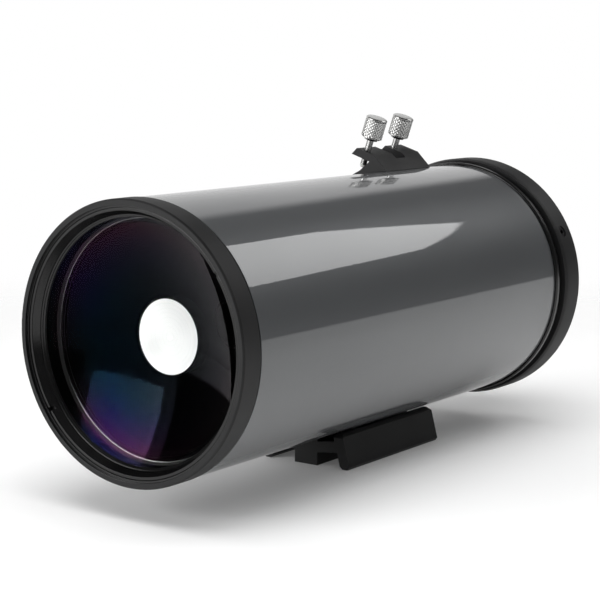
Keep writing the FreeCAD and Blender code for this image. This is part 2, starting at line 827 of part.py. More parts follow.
def make_mirror():
    outline = [
        ("mirror_hole", "mirror_edge_front"),
        ("mirror_radius", "mirror_edge_front"),
        ("mirror_radius", "mirror_back"),
        ("mirror_hole", "mirror_back"),
    ]
    blank = turned("MirrorBlank", outline, optical_placement())
    bowl = ball("MirrorBowl", "mirror_sphere", "mirror_vertex - mirror_sphere")
    keep(cut("Mirror", blank, [bowl]), "primary_mirror")


def make_mirror_carrier():
    outline = [
        ("carrier_bore", "carrier_hub_front"),
        ("carrier_hub", "carrier_hub_front"),
        ("carrier_hub", "pad_back"),
        ("carrier_radius", "pad_back"),
        ("carrier_radius", "carrier_plate_back"),
        ("carrier_hub + 2", "carrier_plate_back"),
        ("carrier_hub + 2", "carrier_hub_back"),
        ("carrier_bore", "carrier_hub_back"),
    ]
    plate = turned("CarrierPlate", outline, optical_placement())
    lug = rod("CarrierLug", "lug_radius", "pad_back", "lug_back", focus_placement())
    place = focus_placement()
    hole = rod("CarrierNutHole", "nut_radius + gasket_gap / 2", "pad_back - 1", "nut_back + 5", place)
    keep(cut("Carrier", fused("CarrierBlank", [plate, lug]), [hole]), "mirror_carrier")
    pad = [
        ("carrier_hub + 0.2", "mirror_back"),
        ("pad_radius", "mirror_back"),
        ("pad_radius", "pad_back"),
        ("carrier_hub + 0.2", "pad_back"),
    ]
    keep(turned("MirrorPad", pad, optical_placement()), "mirror_pad")
    ring = [
        ("carrier_hub + gasket_gap", "mirror_nut_front"),
        ("mirror_nut_radius", "mirror_nut_front"),
        ("mirror_nut_radius", "mirror_nut_back"),
        ("carrier_hub + gasket_gap", "mirror_nut_back"),
    ]
    keep(turned("MirrorRing", ring, optical_placement()), "mirror_retaining_ring")


def make_focus_nut():
    outline = [
        ("nut_bore", "carrier_plate_back"),
        ("nut_radius", "carrier_plate_back"),
        ("nut_radius", "lug_back"),
        ("nut_head", "lug_back"),
        ("nut_head", "nut_back"),
        ("nut_bore", "nut_back"),
    ]
    keep(turned("FocusNut", outline, focus_placement()), "focus_nut")


def make_focus_screw():
    """The lead screw: thread, thrust collar and journal in one turned piece."""
    outline = [
        ("0", "focus_tip"),
        ("focus_thread - 0.5", "focus_tip"),
        ("focus_thread", "focus_tip + 0.5"),
        ("focus_thread", "thrust_front"),
        ("thrust_collar", "thrust_front"),
        ("thrust_collar", "thrust_back"),
        ("journal_radius", "thrust_back"),
        ("journal_radius", "knob_back - 4"),
        ("0", "knob_back - 4"),
    ]
    keep(turned("FocusScrew", outline, focus_placement()), "focus_screw")


def bushing_screw_places():
    """Three screws round the bushing's flange, their own Y axis pointing to the rear."""
    reach = value("(bushing_nose + bushing_flange) / 2")
    middle = focus_placement().Base
    angles = [90 + THIRD_TURN * index for index in range(3)]
    return [FreeCAD.Placement(middle + around_tube(angle) * reach, Rotation()) for angle in angles]


def make_focus_bushing():
    outline = [
        ("bushing_bore", "bushing_front"),
        ("bushing_radius", "bushing_front"),
        ("bushing_radius", "cover_rear"),
        ("bushing_flange", "cover_rear"),
        ("bushing_flange", "bushing_flange_back"),
        ("bushing_nose", "bushing_flange_back"),
        ("bushing_nose", "bushing_back"),
        ("bushing_bore", "bushing_back"),
    ]
    bushing = turned("Bushing", outline, focus_placement())
    holes = []
    for place in bushing_screw_places():
        thread = rod("BushingScrewHole", "small_shank * 0.8", "cover_rear - 1", "bushing_back + 1", place)
        seat = rod("BushingHeadHole", "small_shank * 1.3", "cover_rear + 1.2", "bushing_back + 1", place)
        holes += [thread, seat]
    keep(cut("BushingCut", bushing, holes), "focus_bushing")
    screw = [
        ("0", "rear_rim_end + 0.3"),
        ("small_shank * 0.78", "rear_rim_end + 0.3"),
        ("small_shank * 0.78", "cover_rear + 1.2"),
        ("small_shank * 1.28", "cover_rear + 1.2"),
        ("small_shank * 1.28", "bushing_flange_back - 0.1"),
        ("0", "bushing_flange_back - 0.1"),
    ]
    screws = []
    for place in bushing_screw_places():
        socket = hexagon("BushingSocket", "hex_small", "cover_rear + 1.7", "bushing_back", place)
        screws.append(cut("BushingScrew", turned("BushingScrewBlank", screw, place), [socket]))
    keep(group("BushingScrews", screws), "focus_bushing_screws")
    washer = [
        ("bushing_bore + 0.05", "bushing_back + 0.02"),
        ("bushing_nose - 0.5", "bushing_back + 0.02"),
        ("bushing_nose - 0.5", "washer_back"),
        ("bushing_bore + 0.05", "washer_back"),
    ]
    keep(turned("FocusWasher", washer, focus_placement()), "focus_washer")


def make_focus_knob():
    outline = [
        ("journal_radius", "knob_front"),
        ("knob_radius - 0.6", "knob_front"),
        ("knob_radius", "knob_front + 0.6"),
        ("knob_radius", "knob_back - 0.6"),
        ("knob_radius - 0.6", "knob_back"),
        ("knob_cap - 1.6", "knob_back"),
        ("knob_cap - 2", "knob_back - 0.4"),
        ("0", "knob_back - 0.4"),
        ("0", "knob_back - 4"),
        ("journal_radius", "knob_back - 4"),
    ]
    keep(turned("FocusKnob", outline, focus_placement()), "focus_knob")
    grip = [
        ("knob_radius", "grip_front"),
        ("grip_radius - 0.7", "grip_front"),
        ("grip_radius", "grip_front + 0.7"),
        ("grip_radius", "grip_back - 0.7"),
        ("grip_radius - 0.7", "grip_back"),
        ("knob_radius", "grip_back"),
    ]
    keep(turned("FocusGrip", grip, focus_placement()), "focus_knob_grip")


def make_eyepiece_end():
    port = [
        ("port_bore", "rear_plate_rear"),
        ("port_radius", "rear_plate_rear"),
        ("port_radius", "port_back"),
        ("port_bore", "port_back"),
    ]
    keep(turned("Port", port, optical_placement()), "rear_port")
    holder = [
        ("port_radius + gasket_gap", "holder_front"),
        ("holder_skirt - 0.5", "holder_front"),
        ("holder_skirt", "holder_front + 0.5"),
        ("holder_skirt", "holder_skirt_back - 0.5"),
        ("holder_skirt - 0.5", "holder_skirt_back"),
        ("holder_radius", "holder_skirt_back"),
        ("holder_radius", "holder_back - 0.5"),
        ("holder_radius - 0.5", "holder_back"),
        ("eyepiece_bore + 0.4", "holder_back"),
        ("eyepiece_bore", "holder_back - 0.4"),
        ("eyepiece_bore", "grip_groove_back"),
        ("grip_groove_radius", "grip_groove_back"),
        ("grip_groove_radius", "grip_groove_front"),
        ("eyepiece_bore", "grip_groove_front"),
        ("eyepiece_bore", "port_back + gasket_gap"),
        ("port_radius + gasket_gap", "port_back + gasket_gap"),
    ]
    barrel = turned("Holder", holder, optical_placement())
    places = [eyepiece_clamp_placement(angle) for angle in EYEPIECE_CLAMPS.values()]
    holes = [rod("HolderHole", "clamp_hole", "0 - clamp_reach - 0.2", "5", place) for place in places]
    keep(cut("HolderCut", barrel, holes), "eyepiece_holder")
    ring = [
        ("eyepiece_bore", "grip_groove_front + 0.05"),
        ("clamp_ring_radius", "grip_groove_front + 0.05"),
        ("clamp_ring_radius", "grip_groove_back - 0.05"),
        ("eyepiece_bore", "grip_groove_back - 0.05"),
    ]
    closed = turned("ClampRing", ring, optical_placement())
    centre = Vector(0, value("grip_groove_front + grip_groove_back") / 2, 0 - value("clamp_ring_radius"))
    slit = block("ClampRingSlit", ("clamp_ring_slit", "10", "5"), centre, optical_placement())
    keep(cut("ClampRingCut", closed, [slit]), "compression_ring")


def make_eyepiece_clamps():
    wall = "holder_radius - grip_groove_radius - clamp_reach"
    for side, angle in EYEPIECE_CLAMPS.items():
        placement = eyepiece_clamp_placement(angle)
        labels = (f"eyepiece_clamp_screw_{side}", f"eyepiece_clamp_tip_{side}")
        make_clamp(*labels, placement, wall, "eyepiece_clamp_gap")


def check_everything():
    """Stop before writing if any object failed or any sub-part is not a valid solid."""
    for item in doc.Objects:
        if "Invalid" in item.State or "Error" in item.State:
            raise RuntimeError(f"{item.Label} did not recompute: {item.State}")
    for part in parts:
        shape = part.Shape
        if shape.isNull() or not shape.isValid() or not shape.Solids:
            raise RuntimeError(f"{part.Label} has no valid solid")


def write_parts():
    os.makedirs("parts", exist_ok=True)
    for part in parts:
        part.Shape.exportStep(f"parts/{part.Label}.step")
        box = part.Shape.BoundBox
        print(f"{part.Label:28s} {len(part.Shape.Solids)} solid(s) {part.Shape.Volume:10.1f} mm3"
              f"  X {box.XMin:7.2f} {box.XMax:7.2f}  Y {box.YMin:7.2f} {box.YMax:7.2f}"
              f"  Z {box.ZMin:7.2f} {box.ZMax:7.2f}")


fill_sheet()
make_front_cell()
make_retaining_ring()
make_corrector()
make_gaskets()
make_secondary()
make_tube()
make_foot()
make_foot_fasteners()
make_finder_shoe()
make_shoe_fasteners()
make_finder_clamps()
make_rear_collar()
make_rear_cell()
make_rear_cover()
make_cover_screws()
make_baffle_tube()
make_mirror()
make_mirror_carrier()
make_focus_nut()
make_focus_screw()
make_focus_bushing()
make_focus_knob()
make_eyepiece_end()
make_eyepiece_clamps()
doc.recompute()
check_everything()
write_parts()
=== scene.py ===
"""Looks for a compact Maksutov telescope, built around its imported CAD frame. Units are metres."""

import json
import math

import bmesh
import bpy
from mathutils import Matrix, Quaternion, Vector

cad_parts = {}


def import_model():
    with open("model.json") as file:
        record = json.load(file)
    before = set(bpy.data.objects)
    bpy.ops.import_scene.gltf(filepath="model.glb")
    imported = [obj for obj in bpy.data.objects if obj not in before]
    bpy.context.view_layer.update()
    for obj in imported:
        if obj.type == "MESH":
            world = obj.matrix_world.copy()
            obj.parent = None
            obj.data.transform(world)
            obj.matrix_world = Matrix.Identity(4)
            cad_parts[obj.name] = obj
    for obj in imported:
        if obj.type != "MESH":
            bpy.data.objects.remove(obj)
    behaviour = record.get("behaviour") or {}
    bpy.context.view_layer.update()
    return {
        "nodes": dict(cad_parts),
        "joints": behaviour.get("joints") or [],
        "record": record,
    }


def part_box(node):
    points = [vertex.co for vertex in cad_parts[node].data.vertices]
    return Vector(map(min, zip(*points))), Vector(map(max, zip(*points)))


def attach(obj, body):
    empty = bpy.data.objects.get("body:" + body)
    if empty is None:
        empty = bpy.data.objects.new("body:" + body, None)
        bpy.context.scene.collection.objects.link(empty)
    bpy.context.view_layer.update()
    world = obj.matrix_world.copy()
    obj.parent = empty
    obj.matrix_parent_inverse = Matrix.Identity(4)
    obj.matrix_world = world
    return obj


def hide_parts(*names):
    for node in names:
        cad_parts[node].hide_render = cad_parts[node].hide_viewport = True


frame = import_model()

MM = 0.001

# Where things are, read from the CAD frame.
TUBE_LOW, TUBE_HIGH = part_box("main_tube")
CELL_LOW, CELL_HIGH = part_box("front_cell")
AXIS_HEIGHT = (TUBE_LOW.z + TUBE_HIGH.z) / 2
FRONT_FACE = CELL_LOW.y
TUBE_RADIUS = (TUBE_HIGH.x - TUBE_LOW.x) / 2 / MM
SLOT_OF = {row["node"]: row["material_slot"] for row in frame["record"]["subparts"]}
BODIES = frame["record"]["behaviour"]["bodies"]
BODY_OF = {node: body for body, nodes in BODIES.items() for node in nodes}


def station(distance):
    """The point on the optical axis that many millimetres behind the front face."""
    return Vector((0, FRONT_FACE + distance * MM, AXIS_HEIGHT))


def along(origin, direction):
    """A frame whose own Y axis points along a direction; turned pieces are made in it."""
    turn = Vector((0, 1, 0)).rotation_difference(Vector(direction))
    return Matrix.Translation(origin) @ turn.to_matrix().to_4x4()


OPTICAL_AXIS = along(station(0), (0, 1, 0))


# ---- materials -------------------------------------------------------------------------

TINT_RADIUS = 47.5 * MM  # the coating's tints are spread over this radius of the lens
ANGLE_SCALE = 0.0006  # metres per radian: it draws the turning marks out along the turn


def add_node(tree, kind, **settings):
    """A shader node of that kind with its settings."""
    node = tree.nodes.new(kind)
    for key, setting in settings.items():
        setattr(node, key, setting)
    return node


class Nodes:
    """A small helper for node materials."""

    def __init__(self, name):
        self.material = bpy.data.materials.new(name)
        self.material.use_nodes = True
        self.tree = self.material.node_tree
        self.shader = self.tree.nodes["Principled BSDF"]

    def add(self, kind, **settings):
        return add_node(self.tree, kind, **settings)

    def link(self, output, socket):
        self.tree.links.new(output, socket)

    def set(self, **sockets):
        """Plain values on the shader's own sockets, with _ for a space."""
        for name, number in sockets.items():
            self.shader.inputs[name.replace("_", " ")].default_value = number

    def place(self):
        """The object's own coordinates, in metres."""
        return self.add("ShaderNodeTexCoord").outputs["Object"]

    def noise(self, scale, detail, source=None):
        """Noise over the object's own coordinates, in features per metre."""
        node = self.add("ShaderNodeTexNoise")
        node.inputs["Scale"].default_value = scale
        node.inputs["Detail"].default_value = detail
        self.link(source or self.place(), node.inputs["Vector"])
        return node.outputs["Fac"]

    def ramp(self, factor, stops):
        """Colours along a factor, from (position, colour) stops."""
        node = self.add("ShaderNodeValToRGB")
        elements = node.color_ramp.elements
        while len(elements) < len(stops):
            elements.new(0.5)
        for element, (position, colour) in zip(elements, stops):
            element.position = position
            element.color = (*colour, 1)
        self.link(factor, node.inputs["Fac"])
        return node.outputs["Color"]

    def spread(self, factor, low, high):
        """Rescale a noise, whose values lie mostly between 0.3 and 0.7, to go from low to high."""
        node = self.add("ShaderNodeMapRange")
        node.inputs["From Min"].default_value = 0.3
        node.inputs["From Max"].default_value = 0.7
        node.inputs["To Min"].default_value = low
        node.inputs["To Max"].default_value = high
        self.link(factor, node.inputs["Value"])
        return node.outputs["Result"]

    def bump(self, height, depth, strength=1.0, normal=None):
        """A bump of that depth in metres."""
        node = self.add("ShaderNodeBump")
        node.inputs["Strength"].default_value = strength
        node.inputs["Distance"].default_value = depth
        self.link(height, node.inputs["Height"])
        if normal is not None:
            self.link(normal, node.inputs["Normal"])
        return node.outputs["Normal"]

    def round_edges(self, radius):
        """Normals that shade a sharp edge as if it had that radius in metres."""
        node = self.add("ShaderNodeBevel", samples=4)
        node.inputs["Radius"].default_value = radius
        return node.outputs["Normal"]

    def polar(self):
        """A vector of the angle, scaled, the radius and the station round the optical axis."""
        place = self.place()
        split = self.add("ShaderNodeSeparateXYZ")
        self.link(place, split.inputs[0])
        lift = self.add("ShaderNodeMath", operation="SUBTRACT")
        self.link(split.outputs["Z"], lift.inputs[0])
        lift.inputs[1].default_value = AXIS_HEIGHT
        squares = []
        for output in (split.outputs["X"], lift.outputs[0]):
            square = self.add("ShaderNodeMath", operation="MULTIPLY")
            self.link(output, square.inputs[0])
            self.link(output, square.inputs[1])
            squares.append(square.outputs[0])
        total = self.add("ShaderNodeMath", operation="ADD")
        self.link(squares[0], total.inputs[0])
        self.link(squares[1], total.inputs[1])
        radius = self.add("ShaderNodeMath", operation="SQRT")
        self.link(total.outputs[0], radius.inputs[0])
        angle = self.add("ShaderNodeMath", operation="ARCTAN2")
        self.link(lift.outputs[0], angle.inputs[0])
        self.link(split.outputs["X"], angle.inputs[1])
        scaled = self.add("ShaderNodeMath", operation="MULTIPLY")
        self.link(angle.outputs[0], scaled.inputs[0])
        scaled.inputs[1].default_value = ANGLE_SCALE
        joined = self.add("ShaderNodeCombineXYZ")
        self.link(scaled.outputs[0], joined.inputs["X"])
        self.link(radius.outputs[0], joined.inputs["Y"])
        self.link(split.outputs["Y"], joined.inputs["Z"])
        return joined.outputs[0]


def tube_paint():
    """Gunmetal grey metallic paint under a clear gloss coat."""
    n = Nodes("tube_paint")
    flakes = n.noise(9000, 2)
    clouds = n.noise(14, 4)
    dark, light = (0.060, 0.063, 0.067), (0.094, 0.098, 0.103)
    colour = n.ramp(n.spread(flakes, 0, 1), [(0.0, dark), (1.0, light)])
    n.link(colour, n.shader.inputs["Base Color"])
    n.link(n.spread(clouds, 0.40, 0.48), n.shader.inputs["Roughness"])
    n.set(Metallic=0.35, Coat_Weight=1.0, Coat_Roughness=0.018, Coat_IOR=1.5, IOR=1.4)
    peel = n.bump(n.noise(160, 2), 0.000003)
    n.link(n.bump(n.noise(900, 1), 0.000005, normal=peel), n.shader.inputs["Coat Normal"])
    return n.material


def anodised(name, turning_marks=True, shade=0.0085, rough=(0.50, 0.60), bend=1.36):
    """Black anodised aluminium with a fine grain, and turning marks round the optical axis."""
    n = Nodes(name)
    grain = n.noise(5200, 3)
    clouds = n.noise(60, 4)
    dark = (shade * 0.8, shade * 0.8, shade * 0.84)
    light = (shade * 1.5, shade * 1.5, shade * 1.55)
    colour = n.ramp(n.spread(clouds, 0, 1), [(0.0, dark), (1.0, light)])
    n.link(colour, n.shader.inputs["Base Color"])
    n.link(n.spread(clouds, *rough), n.shader.inputs["Roughness"])
    n.set(IOR=bend)
    normal = n.round_edges(0.00018)
    if turning_marks:
        marks = n.noise(4200, 1, source=n.polar())
        normal = n.bump(marks, 0.000006, 0.6, normal)
    normal = n.bump(grain, 0.000008, 0.7, normal)
    n.link(normal, n.shader.inputs["Normal"])
    return n.material


def flat_black():
    """Dead black paint on the faces inside that have to stay dark."""
    n = Nodes("flat_black")
    colour = n.ramp(n.noise(900, 4), [(0.3, (0.0015,) * 3), (0.7, (0.0035,) * 3)])
    n.link(colour, n.shader.inputs["Base Color"])
    n.set(Roughness=0.95, IOR=1.02)
    n.link(n.bump(n.noise(2600, 4), 0.00004), n.shader.inputs["Normal"])
    return n.material


def coated_glass(name, bend):
    """Clear glass under a thin coating, whose reflection is tinted by radius and by slant."""
    n = Nodes(name)
    split = n.add("ShaderNodeSeparateXYZ")
    n.link(n.polar(), split.inputs[0])
    outward = n.add("ShaderNodeMapRange")
    outward.inputs["From Max"].default_value = TINT_RADIUS
    n.link(split.outputs["Y"], outward.inputs["Value"])
    rings = [
        (0.00, (0.02, 0.28, 0.30)),
        (0.50, (0.02, 0.28, 0.40)),
        (0.63, (0.06, 0.28, 0.66)),
        (0.76, (0.25, 0.20, 0.85)),
        (0.86, (0.72, 0.16, 0.90)),
        (0.91, (0.80, 0.14, 0.70)),
        (0.94, (0.05, 0.10, 0.50)),
    ]
    weight = n.add("ShaderNodeLayerWeight")
    weight.inputs["Blend"].default_value = 0.5
    slant = [
        (0.05, (0.25, 1.00, 0.22)),
        (0.08, (0.40, 0.90, 0.30)),
        (0.13, (0.60, 0.60, 0.90)),
        (0.23, (1.00, 0.50, 0.75)),
        (0.32, (1.00, 0.40, 0.60)),
        (0.50, (0.30, 0.05, 0.20)),
    ]
    tint = n.add("ShaderNodeMix", data_type="RGBA", blend_type="MULTIPLY")
    tint.inputs[0].default_value = 1.0
    n.link(n.ramp(outward.outputs["Result"], rings), tint.inputs[6])
    n.link(n.ramp(weight.outputs["Facing"], slant), tint.inputs[7])
    n.link(tint.outputs[2], n.shader.inputs["Specular Tint"])
    haze = n.ramp(n.noise(30, 4), [(0.3, (0.93, 0.95, 0.94)), (0.7, (0.97, 0.98, 0.97))])
    n.link(haze, n.shader.inputs["Base Color"])
    n.set(Transmission_Weight=1.0, IOR=bend, Roughness=0.0)
    return n.material


def mirror(name, rough=0.02, shade=0.96):
    """A fresh metal coating with the faintest swirl."""
    n = Nodes(name)
    colour = n.ramp(n.noise(25, 3), [(0.3, (shade * 0.99,) * 3), (0.7, (shade, shade, shade))])
    n.link(colour, n.shader.inputs["Base Color"])
    n.set(Metallic=1.0)
    n.link(n.spread(n.noise(80, 3), rough, rough * 1.4), n.shader.inputs["Roughness"])
    return n.material


def metal(name, colour, rough, grain=3000, depth=0.000004):
    """Bare or plated metal with fine tool marks."""
    n = Nodes(name)
    darker = tuple(channel * 0.88 for channel in colour)
    n.link(n.ramp(n.noise(140, 4), [(0.35, darker), (0.65, colour)]), n.shader.inputs["Base Color"])
    n.link(n.spread(n.noise(220, 3), *rough), n.shader.inputs["Roughness"])
    n.set(Metallic=1.0)
    normal = n.round_edges(0.0001)
    n.link(n.bump(n.noise(grain, 2), depth, 0.6, normal), n.shader.inputs["Normal"])
    return n.material


def plastic(name, colour, rough=(0.4, 0.5), **extra):
    """Moulded plastic or rubber."""
    n = Nodes(name)
    darker = tuple(channel * 0.85 for channel in colour)
    n.link(n.ramp(n.noise(200, 4), [(0.35, darker), (0.65, colour)]), n.shader.inputs["Base Color"])
    n.link(n.spread(n.noise(300, 3), *rough), n.shader.inputs["Roughness"])
    n.set(**extra)
    grain = n.bump(n.noise(2500, 3), 0.00001, 0.8, n.round_edges(0.0001))
    n.link(grain, n.shader.inputs["Normal"])
    return n.material


def make_materials():
    """One procedural material for each of the record's slots, and some finishes for pieces that
    differ from their slot's."""
    return {
        "tube_paint": tube_paint(),
        "black_anodised": anodised("black_anodised"),
        "milled_anodised": anodised(
            "milled_anodised", turning_marks=False, shade=0.007, rough=(0.46, 0.56)
        ),
        "smooth_anodised": anodised(
            "smooth_anodised", shade=0.004, rough=(0.18, 0.25), bend=1.45
        ),
        "flat_black": flat_black(),
        "coated_glass": coated_glass("coated_glass", bend=1.25),
        "glass_back": coated_glass("glass_back", bend=1.0),
        "aluminised": mirror("aluminised", rough=0.45, shade=1.0),
        "mirror_glass": mirror("mirror_glass"),
        "bare_aluminium": metal("bare_aluminium", (0.62, 0.63, 0.64), (0.3, 0.42)),
        "black_steel": metal("black_steel", (0.05, 0.05, 0.052), (0.3, 0.42)),
        "screw_steel": metal("screw_steel", (0.50, 0.50, 0.49), (0.2, 0.3)),
        "bright_nickel": metal(
            "bright_nickel", (0.60, 0.60, 0.59), (0.22, 0.32), grain=1500, depth=0.000001
        ),
        "polished_bevel": mirror("polished_bevel", rough=0.1, shade=0.28),
        "brass_parts": metal("brass_parts", (0.72, 0.53, 0.24), (0.2, 0.32)),
        "nylon": plastic("nylon", (0.82, 0.81, 0.77), Subsurface_Weight=0.1),
        "grip_rubber": plastic("grip_rubber", (0.016, 0.016, 0.017), rough=(0.62, 0.74)),
        "gasket": plastic("gasket", (0.012, 0.012, 0.012), rough=(0.7, 0.8)),
    }


MATERIALS = make_materials()

# Nodes whose finish is not simply their slot's: extruded bars, polished rings, unseen plates.
MILLED = ("dovetail_bar", "finder_shoe")
SMOOTH = ("front_retaining_ring", "rear_tube_collar")
HIDDEN = ("dovetail_nut_plate", "finder_shoe_nut_plate")


def finish_for(node):
    """The material that a node shows."""
    if node in HIDDEN:
        return MATERIALS["flat_black"]
    if node in SMOOTH:
        return MATERIALS["smooth_anodised"]
    return MATERIALS["milled_anodised" if node in MILLED else SLOT_OF[node]]


# ---- mesh helpers ----------------------------------------------------------------------

ON_AXIS = 1e-6  # millimetres: a point nearer than this lies on the axis
CORNER_STEPS = 4  # faces across a rounded corner
SHARP = math.radians(28)  # a CAD edge that turns by more than this is softened


def stand_in(piece, node):
    """Let a detailed piece take a CAD node's place, with its finish and body."""
    piece.data.materials.clear()
    piece.data.materials.append(finish_for(node))
    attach(piece, BODY_OF[node])
    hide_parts(node)


def new_object(name, points, faces):
    """An object with that mesh, in the scene."""
    mesh = bpy.data.meshes.new(name)
    mesh.from_pydata([tuple(point) for point in points], [], faces)
    mesh.validate()
    piece = bpy.data.objects.new(name, mesh)
    bpy.context.scene.collection.objects.link(piece)
    return piece


def rounded(outline):
    """Round the corners of a closed outline of (radius, station) or (radius, station, rounding).
    Gives its points, each with the surface normals before and after it, and which way round it
    runs, as 1 or -1."""
    count = len(outline)
    corners = [Vector(corner[:2]) for corner in outline]
    signed = sum(a.x * b.y - b.x * a.y for a, b in zip(corners, corners[1:] + corners[:1]))
    side = 1 if signed > 0 else -1
    points = []
    for index, corner in enumerate(outline):
        here = corners[index]
        before = (here - corners[index - 1]).normalized()
        after = (corners[(index + 1) % count] - here).normalized()
        normal_before = Vector((before.y, -before.x)) * side
        normal_after = Vector((after.y, -after.x)) * side
        radius = corner[2] if len(corner) > 2 else 0
        bend = before.angle(after, 0)
        if radius <= 0 or bend < 0.02:
            points.append((here, normal_before, normal_after))
            continue
        reach = radius * math.tan(bend / 2)
        start, end = here - before * reach, here + after * reach
        for step in range(CORNER_STEPS + 1):
            share = step / CORNER_STEPS
            normal = normal_before.lerp(normal_after, share).normalized()
            bezier = start * (1 - share) ** 2 + here * (2 * share * (1 - share)) + end * share**2
            points.append((bezier, normal, normal))
    return points, side


def turned(name, outline, placement, segments):
    """Turn a closed outline in millimetres about the placement's Y axis, with exact normals."""
    points, side = rounded(outline)
    count = len(points)
    angles = [2 * math.pi * step / segments for step in range(segments)]
    vertices, faces, normals, ring_of = [], [], [], []
    for point, _, _ in points:
        if point.x < ON_AXIS:
            ring_of.append([len(vertices)] * segments)
            vertices.append((0, point.y * MM, 0))
            continue
        ring_of.append(list(range(len(vertices), len(vertices) + segments)))
        for angle in angles:
            across, up = point.x * math.cos(angle) * MM, point.x * math.sin(angle) * MM
            vertices.append((across, point.y * MM, up))

    def normal_at(normal, angle):
        """A normal of the outline, turned to an angle."""
        return Vector((normal.x * math.cos(angle), normal.y, normal.x * math.sin(angle)))

    for index in range(count):
        following = (index + 1) % count
        here, there = points[index], points[following]
        if here[0].x < ON_AXIS and there[0].x < ON_AXIS:
            continue
        for step in range(segments):
            turn = (step + 1) % segments
            corners = [
                (ring_of[index][step], here[2], angles[step]),
                (ring_of[following][step], there[1], angles[step]),
                (ring_of[following][turn], there[1], angles[turn]),
                (ring_of[index][turn], here[2], angles[turn]),
            ]
            kept = []
            for corner in corners:
                if corner[0] not in [other[0] for other in kept]:
                    kept.append(corner)
            if side < 0:
                kept.reverse()
            faces.append([corner[0] for corner in kept])
            normals += [normal_at(corner[1], corner[2]) for corner in kept]
    piece = new_object(name, vertices, faces)
    for polygon in piece.data.polygons:
        polygon.use_smooth = True
    turn = placement.to_3x3()
    piece.data.transform(placement)
    piece.data.normals_split_custom_set([tuple((turn @ normal).normalized()) for normal in normals])
    return piece


def sculpted(name, outline, placement, radius_at, segments):
    """Turn an open outline of (radius, station) rows whose radius also depends on the angle."""
    vertices, faces = [], []
    for radius, height in outline:
        for step in range(segments):
            angle = 2 * math.pi * step / segments
            reach = radius_at(radius, height, angle)
            vertices.append((reach * math.cos(angle) * MM, height * MM, reach * math.sin(angle) * MM))
    rows = len(outline)
    for row in range(rows - 1):
        for step in range(segments):
            turn = (step + 1) % segments
            low, high = row * segments, (row + 1) * segments
            faces.append((low + step, high + step, high + turn, low + turn))
    faces.append(tuple(range(segments)))
    faces.append(tuple(reversed(range((rows - 1) * segments, rows * segments))))
    piece = new_object(name, vertices, faces)
    for polygon in piece.data.polygons:
        polygon.use_smooth = len(polygon.vertices) == 4
    piece.data.transform(placement)
    return piece


def softened(node, width):
    """Replace a CAD node with a copy whose hard edges are rounded off by a width in millimetres."""
    mesh = frame["nodes"][node].data.copy()
    work = bmesh.new()
    work.from_mesh(mesh)
    bmesh.ops.remove_doubles(work, verts=work.verts, dist=1e-6)
    bmesh.ops.dissolve_limit(work, angle_limit=math.radians(0.3), verts=work.verts, edges=work.edges)
    work.to_mesh(mesh)
    work.free()
    if "custom_normal" in mesh.attributes:
        mesh.attributes.remove(mesh.attributes["custom_normal"])
    mesh.shade_smooth()
    piece = bpy.data.objects.new(node + "_fine", mesh)
    bpy.context.scene.collection.objects.link(piece)
    bevel = piece.modifiers.new("Edges", "BEVEL")
    bevel.width = width * MM
    bevel.segments = 3
    bevel.limit_method = "ANGLE"
    bevel.angle_limit = SHARP
    bevel.use_clamp_overlap = True
    bevel.harden_normals = False
    weighted = piece.modifiers.new("Normals", "WEIGHTED_NORMAL")
    weighted.keep_sharp = False
    stand_in(piece, node)


def paint_where(piece, material, chosen):
    """Give a second material to the faces picked by their radius and normal."""
    piece.data.materials.append(MATERIALS[material])
    for polygon in piece.data.polygons:
        radius = math.hypot(polygon.center.x, polygon.center.z - AXIS_HEIGHT) / MM
        if chosen(radius, polygon.normal):
            polygon.material_index = len(piece.data.materials) - 1


# ---- the telescope ---------------------------------------------------------------------

# Outlines are (radius, station) in millimetres; a third number rounds that corner.
CELL_RADIUS = (CELL_HIGH.x - CELL_LOW.x) / 2 / MM
FINE = 0.15
ROUND = 256  # segments in a full turn of the large round pieces
TUBE_START, TUBE_END, TUBE_BORE = 10.5, 230.5, 50.7

# The lens: each spherical face's radius and the station where it crosses the optical axis, and
# the radii where its clear opening ends and where its polished bevel starts and ends.
FRONT_SPHERE, FRONT_VERTEX = 99.5, 18.1
REAR_SPHERE, REAR_VERTEX = 104.5, 26.9
CLEAR_EDGE, BEVEL_START, BEVEL_END = 45.1, 46.1, 46.5


def build_front_cell():
    """The black ring at the sky end, darker and smoother inside than outside."""
    outline = [
        (50.4, 0, 0.12),
        (52.15, 0, 0.2),
        (CELL_RADIUS, 0.6, 0.5),
        (CELL_RADIUS, 9.6, 0.4),
        (52.3, 10.1, 0.15),
        (51.9, 10.1),
        (51.9, TUBE_START),
        (50.6, TUBE_START),
        (50.6, 26.0, 0.3),
        (44.4, 26.0, 0.3),
        (44.4, 17.2, 0.2),
        (47.5, 17.2),
        (47.5, 6.9, FINE),
        (49.6, 6.9),
        (49.6, 1.0, FINE),
        (50.4, 1.0),
    ]
    piece = turned("front_cell_fine", outline, OPTICAL_AXIS, ROUND)
    stand_in(piece, "front_cell")
    paint_where(piece, "smooth_anodised", lambda radius, normal: radius < 50.7)
    paint_where(piece, "flat_black", lambda radius, normal: radius < 47.6)


def build_retaining_ring():
    """A cone that opens forwards, with two fine steps at its inner edge."""
    outline = [
        (49.5, 1.4, 0.2),
        (49.5, 6.5),
        (45.8, 6.5, 0.1),
        (45.8, 5.9, 0.12),
        (46.3, 5.5, 0.08),
        (46.3, 5.1, 0.12),
        (46.8, 4.8, 0.08),
        (46.8, 4.4, 0.12),
        (48.3, 1.7, 0.2),
        (48.3, 1.4, 0.1),
    ]
    piece = turned("front_retaining_ring_fine", outline, OPTICAL_AXIS, ROUND)
    cut_notches(piece)
    stand_in(piece, "front_retaining_ring")


